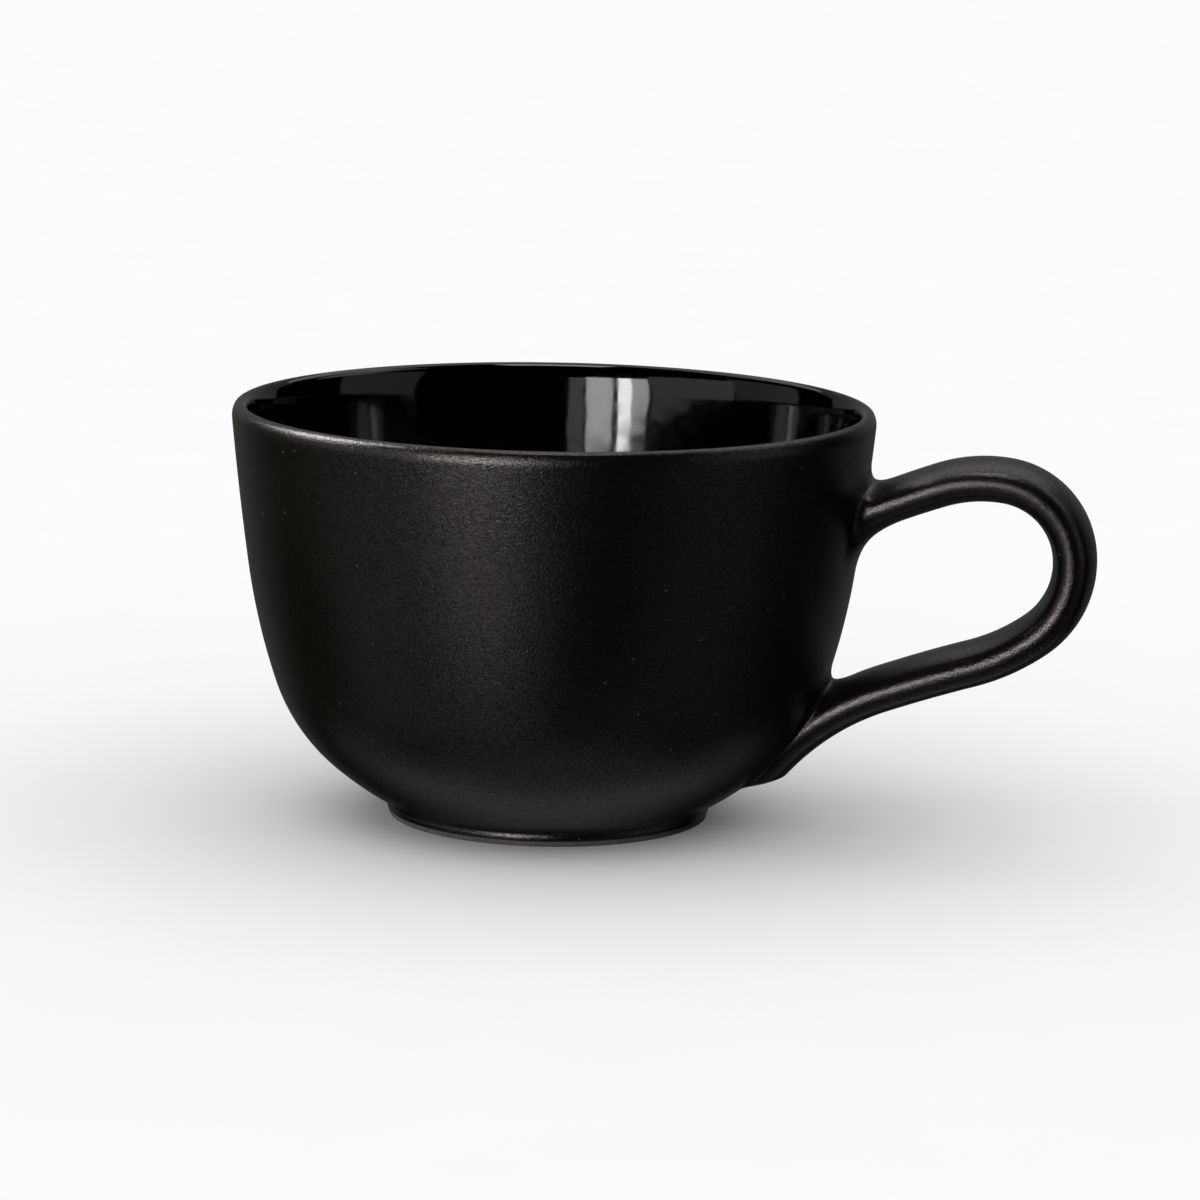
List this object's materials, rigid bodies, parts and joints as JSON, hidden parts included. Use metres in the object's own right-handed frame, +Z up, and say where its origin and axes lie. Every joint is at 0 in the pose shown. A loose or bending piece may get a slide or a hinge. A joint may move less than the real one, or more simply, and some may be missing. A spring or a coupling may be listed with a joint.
{
  "type": "ceramic mug",
  "caption": "Wide round ceramic cup on a low foot ring, matte black outside and glossy black inside, with an open loop handle on one side",
  "frame": {"origin": "the point on the cup's axis in the plane its foot ring stands on", "axes": "+Z up along the cup's axis, +X from the axis out through the handle, +Y to complete a right-handed set"},
  "size_m": [0.1454, 0.108, 0.0698],
  "materials": {
    "bare_clay": "matte",
    "matte_glaze": "matte",
    "gloss_glaze": "gloss"
  },
  "bodies": {
    "root": {"mug_body": "bare_clay", "handle_strap": "bare_clay", "upper_slip_joint": "matte_glaze", "lower_slip_joint": "matte_glaze", "liner_glaze": "gloss_glaze", "outer_glaze": "matte_glaze", "handle_glaze": "matte_glaze", "base_glaze": "matte_glaze"}
  },
  "joints": []
}
